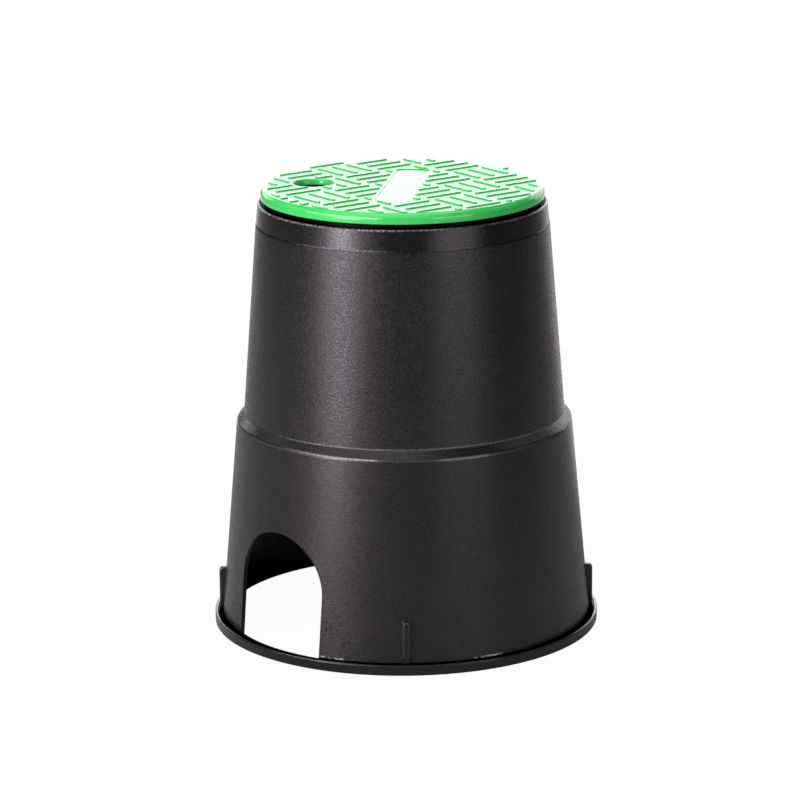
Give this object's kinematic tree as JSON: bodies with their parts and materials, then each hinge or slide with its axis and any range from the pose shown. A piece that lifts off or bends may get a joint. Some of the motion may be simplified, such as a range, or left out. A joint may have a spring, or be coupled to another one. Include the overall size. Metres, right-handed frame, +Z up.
{
  "type": "irrigation valve box",
  "caption": "Round tapered in-ground valve box, open below, with arched pipe openings on opposite sides, a flanged and gusseted foot, and a lift-off lid with raised tread and a finger hole.",
  "frame": {"origin": "middle of the base ring's underside, on the ground", "axes": "+Z up along the box's axis, X along the pipe run through the two openings"},
  "size_m": [0.208, 0.208, 0.2388],
  "materials": {
    "black_moulding": "satin black polyolefin with a fine moulded grain",
    "green_moulding": "satin green polyolefin, smooth"
  },
  "bodies": {
    "box": {"box_body": "black_moulding"},
    "lid": {"lid": "green_moulding"}
  },
  "joints": [
    {"name": "lid_lift", "type": "slide", "parent": "box", "child": "lid", "axis": [0, 0, 1], "range_m": [0, 0.06]}
  ]
}
